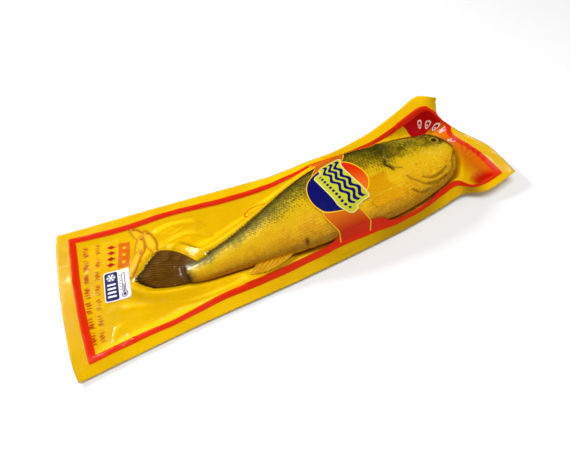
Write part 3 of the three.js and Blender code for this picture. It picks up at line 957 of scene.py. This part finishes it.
class Layers:
    """Inks laid one over the other: the colour seen, and how much of the film they cover."""

    def __init__(self, tree, colour):
        self.tree, self.colour, self.cover = tree, colour, None

    def lay(self, colour, mask, strength=1.0):
        self.colour = blend(self.tree, mask, self.colour, colour)
        covered = mask * strength
        if self.cover is None:
            self.cover = covered
        elif strength >= 0.9:
            self.cover = self.cover.most(covered)
        else:
            self.cover = self.cover + covered * self.cover.minus_from(1.0)


def new_group(name, outputs, inputs=()):
    """A node group with the named outputs, and inputs with their usual values."""
    group = bpy.data.node_groups.new(name, "ShaderNodeTree")
    for title, kind in outputs:
        group.interface.new_socket(title, in_out="OUTPUT", socket_type=kind)
    for title, kind, value in inputs:
        socket = group.interface.new_socket(title, in_out="INPUT", socket_type=kind)
        socket.default_value = value
    return group


def flat_place(tree, width, length):
    """The place on a flat sheet in millimetres from its corner, read from its UV map."""
    uv = tree.nodes.new("ShaderNodeUVMap")
    uv.uv_map = "flat"
    split = tree.nodes.new("ShaderNodeSeparateXYZ")
    tree.links.new(uv.outputs[0], split.inputs[0])
    return Field(tree, split.outputs[0]) * length, Field(tree, split.outputs[1]) * width


# %% [markdown]
# ## The print on the front film
# The clear film is printed with a red frame, an orange band with a round badge over the fish, and small
# print beside the tail. It could be a picture, or it could be drawn as shapes. Shapes stay sharp at any
# size and need no file, so the whole print is one node group. It reads the film's flat place, so the
# print bends and slides with the film. Waves, drops and dashes stand where a real pouch has its words.

# %% The print
FRAME_RED, BAND_RED, BAND_ORANGE = srgb(226, 40, 2), srgb(214, 38, 4), srgb(230, 110, 20)
NAVY, PLATE, RING_YELLOW = srgb(12, 16, 96), srgb(196, 196, 40), srgb(238, 186, 10)
DEEP_RED, SMALL_RED, MAGENTA = srgb(184, 0, 6), srgb(196, 60, 2), srgb(190, 12, 60)
WHITE = srgb(250, 240, 236)
FRAME_LINE = 6.2
FRAME_TAIL, FRAME_HEAD, FRAME_NEAR, FRAME_FAR = 11.5, 416.0, -64.6, 62.5
BAND_MIDDLE, BAND_WIDTH = 246.0, 29.0
BADGE, BADGE_RADIUS = (252.3, -12.8), 29.6
PLATE_MIDDLE, PLATE_TURN = (255.0, -11.0), -71.0


def frame_distance(x, y):
    """The distance to the line of the printed frame."""
    middle = ((FRAME_TAIL + FRAME_HEAD) / 2, (FRAME_NEAR + FRAME_FAR) / 2)
    outer = box(x, y, middle, (FRAME_HEAD - FRAME_TAIL, FRAME_FAR - FRAME_NEAR))
    return (outer + FRAME_LINE / 2).abs() - FRAME_LINE / 2


def inside_frame(x, y, reach):
    """1 within this much of the frame's head end, measured along the pouch, and inside its line."""
    middle = (FRAME_HEAD - reach / 2, (FRAME_NEAR + FRAME_FAR) / 2)
    return box(x, y, middle, (reach - FRAME_LINE, FRAME_FAR - FRAME_NEAR - FRAME_LINE)).inside(1.0)


PANEL_REACH, PATCH_REACH = 48, 108
PATCH_MIDDLE, PATCH_SIZE, PATCH_CORNER = (398, 52), (50, 34), 12
DROPS = [((393, 46.5), 60), ((400, 40.5), 42), ((404, 33), 22), ((407.5, 24), 5), ((408.5, 5), -25)]


def lay_head_panel(ink, x, y):
    """The orange fade towards the head end, its two red corners, and a row of drops."""
    in_panel = inside_frame(x, y, PANEL_REACH)
    rise = x.between(FRAME_HEAD - 34, FRAME_HEAD - 4) * in_panel
    ink.lay(srgb(238, 104, 4), rise, 0.72)
    near_corner = disc(x, y, (FRAME_HEAD - 18, FRAME_NEAR + 5), 13).inside(9) * in_panel
    ink.lay(srgb(206, 14, 2), near_corner, 0.85)
    patch = box(x, y, PATCH_MIDDLE, PATCH_SIZE, PATCH_CORNER)
    ink.lay(DEEP_RED, patch.inside(0.6) * inside_frame(x, y, PATCH_REACH), 0.97)
    for place, turn in DROPS:
        along, across = turned(x, y, place, turn)
        drop = length_of(along * 0.72, across * (along * 0.09).minus_from(1.25)) - 3.2
        ink.lay(WHITE, drop.inside(0.5), 0.95)
        ink.lay(MAGENTA, (drop + 1.0).inside(0.4), 0.98)
        ink.lay(WHITE, disc(along, across, (-0.9, 0), 0.75).inside(0.4), 0.95)


def lay_badge(ink, x, y):
    """The band over the fish, the badge on it, and a tilted plate with waves and beads."""
    in_band = (x - BAND_MIDDLE).abs() - BAND_WIDTH / 2
    in_frame = (y - FRAME_FAR).most(y.minus_from(FRAME_NEAR)) + FRAME_LINE / 2
    band = in_band.most(in_frame)
    ink.lay(blend(ink.tree, y.between(-62, -40), BAND_RED, BAND_ORANGE), band.inside(), 0.75)
    ink.lay(RING_YELLOW, (in_band.abs() - 0.55).most(in_frame).inside(), 0.95)
    badge = disc(x, y, BADGE, BADGE_RADIUS)
    ink.lay(RING_YELLOW, badge.inside(), 0.97)
    along, across = turned(x, y, PLATE_MIDDLE, PLATE_TURN)
    head_half = blend(ink.tree, y.between(-30, 8), BAND_ORANGE, BAND_RED)
    ink.lay(head_half, (badge + 1.3).inside(), 0.97)
    ink.lay(NAVY, (badge + 1.3).most(across + 4.0).inside(), 0.97)
    plate = box(along, across, (0.0, 2.5), (62, 20), 3.0)
    plate = plate.least(box(along, across, (6.0, -10.0), (54, 9.5), 2.5))
    ink.lay(srgb(236, 226, 150), (plate - 0.9).inside(), 0.97)
    ink.lay(PLATE, plate.inside(), 0.97)
    for k in range(3):
        crest = (across - (8.2 - 5.7 * k) - along.wave(14.0) * 1.6).abs() - (1.8 - 0.1 * k)
        ink.lay(NAVY, crest.most(along.abs() - 28.5).inside(), 0.98)
    beads = length_of((along - 6.0).node("PINGPONG", 2.3), across + 10.0) - 1.5
    ink.lay(NAVY, beads.most((along - 6.0).abs() - 23.5).inside(), 0.98)


def lay_small_marks(ink, x, y):
    """Rows of dashes in place of the small print, and the marks beside them."""
    for start, lean, size, strength in ((21.7, 0.073, 1.8, 0.85), (30.6, 0.115, 1.6, 0.6)):
        row = x - y * lean - start
        word = y.node("PINGPONG", 7.3) - 5.4
        strokes = (y.wave(2.6) + (y * 0.37).wave(4.4) * 0.7 + 0.15) * -0.5
        lines = (row + y.wave(3.7) * 0.7).abs() - size
        dash = lines.most(word * 0.6).most(strokes).most(y.abs() - 50)
        ink.lay(SMALL_RED, dash.inside(0.6), strength)
    for k in range(4):
        along, across = turned(x, y, (47.6 - 0.9 * k, 42.0 - 6.6 * k), -10)
        ink.lay(DEEP_RED, (along.abs() * 0.6 + across.abs() - 2.3).inside(), 0.95)
    along, across = turned(x, y, (57.5, 29.5), -8)
    ink.lay(srgb(226, 104, 6), box(along, across, (0, 0), (10, 28)).inside(), 0.85)
    for k in range(3):
        ink.lay(RING_YELLOW, disc(along, across, (0, 8.0 - 8.0 * k), 1.7).inside(), 0.9)
    mark = disc(x, y, (169.0, 35.0), 7.0)
    wave = (y - 35.0 - x.wave(6.0) * 1.3).abs().most(mark + 2.4) - 0.4
    ink.lay(srgb(226, 108, 4), (mark.abs() - 0.45).least(wave).inside(0.5), 0.8)


LITTLE_FISH = [((76, 43), -62), ((83, 33), -80), ((72, 29), -100), ((66, 14), -112)]


def lay_little_fish(ink, x, y):
    """A few small fish, laid in a fan, printed beside the tail."""
    for place, turn in LITTLE_FISH:
        along, across = turned(x, y, place, turn)
        bodies = length_of(along * 0.3, across) - 5.2
        tail = (across.abs() - (along - 10) * 0.55).most(along - 17.0).most(along.minus_from(11.0))
        shape = bodies.least(tail)
        ink.lay(srgb(196, 120, 10), shape.inside(0.9), 0.65)
        ink.lay(srgb(246, 190, 24), (shape + 0.8 + (across * 0.5).most(0.0)).inside(2.6), 0.8)
        ink.lay(srgb(120, 60, 5), disc(along, across, (-12.5, 0.8), 0.9).inside(), 0.8)


def make_print():
    group = new_group("pouch_print", [("Colour", "NodeSocketColor"), ("Cover", "NodeSocketFloat")])
    x, y_from_edge = flat_place(group, FLAT_WIDTH, FLAT_LENGTH)
    y = y_from_edge - FLAT_WIDTH / 2
    ink = Layers(group, FRAME_RED)
    lay_head_panel(ink, x, y)
    lay_little_fish(ink, x, y)
    lay_small_marks(ink, x, y)
    ink.lay(FRAME_RED, frame_distance(x, y).inside(), 0.93)
    lay_badge(ink, x, y)
    out = group.nodes.new("NodeGroupOutput")
    group.links.new(ink.colour, out.inputs["Colour"])
    group.links.new(ink.cover.socket, out.inputs["Cover"])
    print("print nodes:", len(group.nodes))
    return group


pouch_print = make_print()

# %% [markdown]
# ## Films
# The clear film is thin enough to look straight through, so it needs no refraction: a Transparent shader
# shows what is below it, and a Glossy one adds the gloss, more of it at a grazing angle. Where there is
# ink, a Principled shader covers both. Fine crinkles are too small for the mesh, so a Bump node adds
# them. Both films crinkle alike, so the height is worked out in one node group.

# %% Starting a material
def start_material(name):
    """A new material with only its output, and its tree."""
    material = bpy.data.materials.new(name)
    material.use_nodes = True
    tree = material.node_tree
    tree.nodes.clear()
    return material, tree, tree.nodes.new("ShaderNodeOutputMaterial")


def principled(tree, **inputs):
    """A Principled shader. Sockets are linked and numbers are set."""
    shader = tree.nodes.new("ShaderNodeBsdfPrincipled")
    for title, value in inputs.items():
        socket = shader.inputs[title.replace("_", " ")]
        if isinstance(value, Field):
            value = value.socket
        if isinstance(value, bpy.types.NodeSocket):
            tree.links.new(value, socket)
        elif isinstance(value, tuple):
            socket.default_value = (*value, 1)
        else:
            socket.default_value = value
    return shader


def attribute(tree, name):
    node = tree.nodes.new("ShaderNodeAttribute")
    node.attribute_name = name
    return Field(tree, node.outputs["Fac"])


def object_place(tree):
    """The place in the object's own space, as a vector socket."""
    return tree.nodes.new("ShaderNodeTexCoord").outputs["Object"]


def noise_at(tree, place, size, detail=3.0, rough=0.5, warp=0.0):
    """A soft random pattern whose blobs have about this size in millimetres."""
    node = tree.nodes.new("ShaderNodeTexNoise")
    tree.links.new(place, node.inputs["Vector"])
    node.inputs["Scale"].default_value = 1 / (size * MM)
    node.inputs["Detail"].default_value = detail
    node.inputs["Roughness"].default_value = rough
    node.inputs["Distortion"].default_value = warp
    return Field(tree, node.outputs["Fac"])


def bump(tree, height, depth, strength=1.0):
    """A normal from a height of 0 to 1 that is this deep in millimetres."""
    node = tree.nodes.new("ShaderNodeBump")
    node.inputs["Distance"].default_value = depth * MM
    node.inputs["Strength"].default_value = strength
    tree.links.new(height.socket, node.inputs["Height"])
    return node.outputs["Normal"]


# %% The crinkles that both films share
def make_crinkles():
    """Fine wrinkles of thin plastic: creases, as high as the input says, over soft waves."""
    group = new_group("film_crinkles", [("Height", "NodeSocketFloat")],
                      [("Creases", "NodeSocketFloat", 0.08)])
    creases = Field(group, group.nodes.new("NodeGroupInput").outputs["Creases"])
    place = object_place(group)
    soft = noise_at(group, place, 9.0, detail=2.0, warp=0.8)
    sharp = (noise_at(group, place, 5.0, detail=4.0, warp=1.4) - 0.5).abs()
    total = soft * 0.7 + sharp.between(0.0, 0.06) * creases
    out = group.nodes.new("NodeGroupOutput")
    group.links.new(total.socket, out.inputs["Height"])
    return group


film_crinkles = make_crinkles()


def crinkle_normal(tree, depth, creases=0.08):
    node = tree.nodes.new("ShaderNodeGroup")
    node.node_tree = film_crinkles
    node.inputs["Creases"].default_value = creases
    return bump(tree, Field(tree, node.outputs["Height"]), depth)


# %% Clear film: printed and glossy outside, and only see-through inside
def mixed(tree, share, first, second):
    """A Mix Shader of two shaders, by a share that is a socket or a number."""
    node = tree.nodes.new("ShaderNodeMixShader")
    if isinstance(share, bpy.types.NodeSocket):
        tree.links.new(share, node.inputs[0])
    else:
        node.inputs[0].default_value = share
    tree.links.new(first.outputs[0], node.inputs[1])
    tree.links.new(second.outputs[0], node.inputs[2])
    return node


def clear_film(name, printed):
    material, tree, out = start_material(name)
    through = tree.nodes.new("ShaderNodeBsdfTransparent")
    gloss = tree.nodes.new("ShaderNodeBsdfGlossy")
    gloss.inputs["Roughness"].default_value = 0.08
    if not printed:
        tree.links.new(mixed(tree, 0.004, through, gloss).outputs[0], out.inputs["Surface"])
        return material
    normal = crinkle_normal(tree, 0.35)
    fresnel = tree.nodes.new("ShaderNodeFresnel")
    fresnel.inputs["IOR"].default_value = 1.3
    for node in (fresnel, gloss):
        tree.links.new(normal, node.inputs["Normal"])
    film = mixed(tree, fresnel.outputs[0], through, gloss)
    ink = tree.nodes.new("ShaderNodeGroup")
    ink.node_tree = pouch_print
    inked = principled(tree, Base_Color=ink.outputs["Colour"], Roughness=0.24,
                       Specular_IOR_Level=0.35, Normal=normal)
    surface = mixed(tree, ink.outputs["Cover"], film, inked)
    tree.links.new(surface.outputs[0], out.inputs["Surface"])
    return material


front_film.data.materials[0] = clear_film("clear_film_printed", printed=True)
front_film.data.materials[1] = clear_film("clear_film_inside", printed=False)


# %% Yellow film
def yellow_film(name, gloss, rough):
    material, tree, out = start_material(name)
    place = object_place(tree)
    cloud = noise_at(tree, place, 60.0, detail=1.0).between(0.35, 0.65)
    colour = blend(tree, cloud, srgb(250, 205, 0), srgb(244, 196, 0))
    shader = principled(tree, Base_Color=colour, Roughness=rough, Specular_IOR_Level=gloss,
                        Normal=crinkle_normal(tree, 0.5))
    tree.links.new(shader.outputs[0], out.inputs["Surface"])
    return material


back_film.data.materials[0] = yellow_film("yellow_film_inside", gloss=0.12, rough=0.45)
back_film.data.materials[1] = yellow_film("yellow_film_outside", gloss=0.5, rough=0.25)

# %% [markdown]
# ## Skin and fins
# A croaker's flank is golden and its back olive. The change is not a line but a sprinkle: each scale is
# dark at its root, less so towards the belly, and its wet free edge catches a glint, which is painted as a
# highlight. So a ramp from belly to back is moved along by the dark roots, which the mesh keeps, and the
# painted highlights are laid over it. The head has no large scales, so its skin is mottled with noise
# instead, with small painted glints of light on it.

# %% Ramps
def ramp(tree, share, stops):
    """A colour ramp through (place, colour) stops."""
    node = tree.nodes.new("ShaderNodeValToRGB")
    elements = node.color_ramp.elements
    while len(elements) < len(stops):
        elements.new(0.5)
    for element, (place, colour) in zip(elements, stops):
        element.position, element.color = place, (*colour, 1)
    tree.links.new(share.socket, node.inputs[0])
    return node.outputs[0]


# %% Skin
def fish_skin():
    material, tree, out = start_material("croaker_skin")
    place = object_place(tree)
    split = tree.nodes.new("ShaderNodeSeparateXYZ")
    tree.links.new(place, split.inputs[0])
    x, y = Field(tree, split.outputs[0]) / MM, Field(tree, split.outputs[1]) / MM
    grain = (noise_at(tree, place, 2.4, detail=3.0, rough=0.7) - 0.5) * 0.5
    blotch = (noise_at(tree, place, 14.0, detail=3.0) - 0.5) * 0.4
    on_head = x.between(96, 118)
    to_back = attribute(tree, "towards_back") * 0.5 + 0.5
    specks = attribute(tree, "dark_root") * (to_back.between(0.2, 0.62) * 0.3 + 0.05)
    olive_head = x.between(60, 105) * to_back.between(0.42, 0.6) * 0.12
    height = (to_back + specks + grain + blotch + olive_head).least(on_head * -0.18 + 1.0)
    stops = [(0.0, srgb(224, 150, 2)), (0.28, srgb(248, 196, 2)), (0.48, srgb(244, 200, 4)),
             (0.62, srgb(186, 156, 6)), (0.74, srgb(130, 112, 8)), (0.87, srgb(88, 76, 8)),
             (1.0, srgb(62, 52, 8))]
    colour = ramp(tree, height, stops)
    # Painted highlights: the scales' glints are laid over the colour in bright yellow, fainter on the olive
    # back.
    painted_glint = attribute(tree, "painted_glint")
    colour = blend(tree, painted_glint * (height.between(0.45, 0.8) * -0.45 + 0.75), colour, srgb(255, 230, 40))
    colour = blend(tree, on_head * noise_at(tree, place, 6.0, warp=0.6).between(0.45, 0.7) * 0.45,
                   colour, srgb(246, 206, 20))
    # Painted highlights: small bright glints of light scattered over the head.
    painted_head_glints = noise_at(tree, place, 1.7, detail=2.0).between(0.5, 0.66) * on_head * 0.6
    colour = blend(tree, painted_head_glints, colour, srgb(255, 232, 60))
    freckle = noise_at(tree, place, 3.2, detail=2.0).between(0.62, 0.72) * on_head * 0.5
    colour = blend(tree, freckle, colour, srgb(150, 96, 6))
    # Painted shade in the crease under the gill cover's edge, kept to part of its length.
    gill_edge_shade = attribute(tree, "gill_edge_shade") * y.between(-16, -12) * y.between(-1, 4).minus_from(1.0)
    colour = blend(tree, attribute(tree, "shade") * 0.6, colour, srgb(120, 78, 4))
    fin_base = disc(x, y, FIN_BASE, 4.0).inside(5.0)
    colour = blend(tree, fin_base * 0.6, colour, srgb(252, 208, 20))
    colour = blend(tree, gill_edge_shade * 0.9, colour, srgb(52, 34, 4))
    # Painted shade: a dark ring where the eye sits down in its socket.
    socket = (disc(x, y, EYE, EYE_RADIUS + 0.4).abs() - 0.8).inside(1.2)
    colour = blend(tree, socket * 0.8, colour, srgb(74, 54, 4))
    vent = disc(x, y, VENT, 1.6).inside(2.0)
    colour = blend(tree, vent * 0.85, colour, srgb(110, 20, 0))
    at_tail = x + noise_at(tree, place, 4.0) * 8.0
    colour = blend(tree, at_tail.between(-108, -98), srgb(74, 48, 3), colour)
    skin_bump = bump(tree, grain + painted_glint * 0.2, 0.25)
    shader = principled(tree, Base_Color=colour, Roughness=0.42, Normal=skin_bump, Metallic=0.1)
    tree.links.new(shader.outputs[0], out.inputs["Surface"])
    return material


# %% Fins
def fin_skin(name, web, bone, edge, edge_from=0.9, rough=0.5):
    """Skin between bony rays, with a darker or brighter free edge."""
    material, tree, out = start_material(name)
    place = object_place(tree)
    ray = attribute(tree, "ray").wave(1.0) * 0.5 + 0.5
    patchy = noise_at(tree, place, 5.0, detail=4.0, rough=0.6)
    colour = blend(tree, ray.between(0.35, 0.9) * patchy.between(0.25, 0.75), web, bone)
    at_edge = (attribute(tree, "out") + (patchy - 0.5) * 0.12).between(edge_from, edge_from + 0.09)
    colour = blend(tree, at_edge, colour, edge)
    shader = principled(tree, Base_Color=colour, Roughness=rough, Specular_IOR_Level=0.3,
                        Normal=bump(tree, ray + patchy * 0.6, 0.3))
    tree.links.new(shader.outputs[0], out.inputs["Surface"])
    return material


body.data.materials.append(fish_skin())
tail_fin.data.materials.append(fin_skin("tail_fin_skin", srgb(98, 60, 2), srgb(140, 92, 4),
                                        srgb(50, 32, 2)))
back_fin.data.materials.append(fin_skin("back_fin_skin", srgb(74, 58, 6), srgb(120, 94, 14),
                                        srgb(36, 26, 4), edge_from=0.8))
vent_fin.data.materials.append(fin_skin("vent_fin_skin", srgb(228, 164, 8), srgb(255, 224, 60),
                                        srgb(240, 184, 12), rough=0.25))
pale_fin = fin_skin("side_fin_skin", srgb(236, 172, 2), srgb(248, 194, 8), srgb(236, 176, 4))
for fin in (*side_fins, *belly_fins):
    fin.data.materials.append(pale_fin)
print("skins:", [material.name for material in bpy.data.materials if material.name.endswith("skin")])


# %% Eyes
def eye_skin():
    material, tree, out = start_material("eye_skin")
    split = tree.nodes.new("ShaderNodeSeparateXYZ")
    tree.links.new(object_place(tree), split.inputs[0])
    x, y = Field(tree, split.outputs[0]) / MM, Field(tree, split.outputs[1]) / MM
    away = length_of(x - EYE[0], (y - EYE[1]) * 1.1) / EYE_RADIUS
    colour = ramp(tree, away, [(0.0, srgb(52, 44, 6)), (0.36, srgb(60, 50, 6)), (0.42, srgb(176, 146, 14)),
                               (0.66, srgb(200, 166, 16)), (0.74, srgb(70, 52, 4)), (0.9, srgb(60, 44, 4)),
                               (1.0, srgb(190, 150, 10))])
    shader = principled(tree, Base_Color=colour, Roughness=0.15)
    tree.links.new(shader.outputs[0], out.inputs["Surface"])
    return material


wet_eye = eye_skin()
for eye in eyes:
    eye.data.materials.append(wet_eye)

# %% [markdown]
# ## Sticker print and floor
# The label says how the pack is to be kept, so it carries a snowflake, a thermometer and plain bars. It is
# drawn as shapes, as the film's print is, from the label's own flat place. Paper scatters light evenly and
# has fibres, so it is rougher than the film and has a very fine bump. The floor is plain and pale.

# %% Sticker
def sticker_paper():
    """White paper, navy on the tail's side, with a snowflake, a thermometer and bars."""
    material, tree, out = start_material("sticker_paper")
    x_from, y_from = flat_place(tree, STICKER_LENGTH, STICKER_WIDTH)
    x, y = x_from - STICKER_WIDTH / 2, y_from - STICKER_LENGTH / 2
    ink = Layers(tree, srgb(246, 240, 250))
    field = box(x, y, (-4.9, 0), (11.2, 29.5), 1.6)
    ink.lay(srgb(10, 16, 84), field.inside(0.25))
    flake = None
    for turn in (0, 60, 120):
        along, across = turned(x, y, (-5.0, 9.2), turn)
        arm = (across.abs() - 0.42).most(along.abs() - 3.9)
        side = ((along.abs() - across.abs() * 0.8 - 2.2).abs() - 0.36).most(across.abs() - 1.3)
        flake = arm.least(side) if flake is None else flake.least(arm).least(side)
    ink.lay(srgb(240, 240, 250), flake.inside(0.25))
    for k in range(4):
        ink.lay(srgb(232, 232, 246), box(x, y, (-5.0, 1.8 - 4.1 * k), (7.2, 1.9), 0.6).inside(0.25))
    tube = box(x, y, (5.6, 0.6), (2.6, 22), 1.3).least(disc(x, y, (5.6, -11.0), 2.5))
    column = box(x, y, (5.6, -6.0), (1.0, 10)).least(disc(x, y, (5.6, -11.0), 1.5))
    ticks = ((y - 0.5).node("PINGPONG", 1.5) - 0.42).most((x - 2.6).abs() - 0.9).most((y - 1.5).abs() - 9)
    for shape_of_gauge in (tube.abs() - 0.4, column, ticks):
        ink.lay(srgb(28, 26, 88), shape_of_gauge.inside(0.25))
    fibres = noise_at(tree, object_place(tree), 0.8, detail=2.0)
    shader = principled(tree, Base_Color=ink.colour, Roughness=0.5, Specular_IOR_Level=0.3,
                        Normal=bump(tree, fibres, 0.05))
    tree.links.new(shader.outputs[0], out.inputs["Surface"])
    return material


sticker.data.materials.append(sticker_paper())


# %% Floor
def pale_floor():
    material, tree, out = start_material("pale_floor")
    shader = principled(tree, Base_Color=(0.93, 0.93, 0.93), Roughness=0.7, Specular_IOR_Level=0.2)
    tree.links.new(shader.outputs[0], out.inputs["Surface"])
    return material


floor_plane.data.materials.append(pale_floor())

# %% [markdown]
# ## Place every piece on the frame
# Each new piece rides on the pack's one body and stands for the CAD node whose shape it shows, and that
# node is hidden.

# %% Ride and replace
for piece in (*fish, front_film, back_film, sticker):
    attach(piece, "root")
for piece in fish:
    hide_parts("croaker")
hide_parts("back_film")
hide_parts("front_film")
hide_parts("storage_sticker")
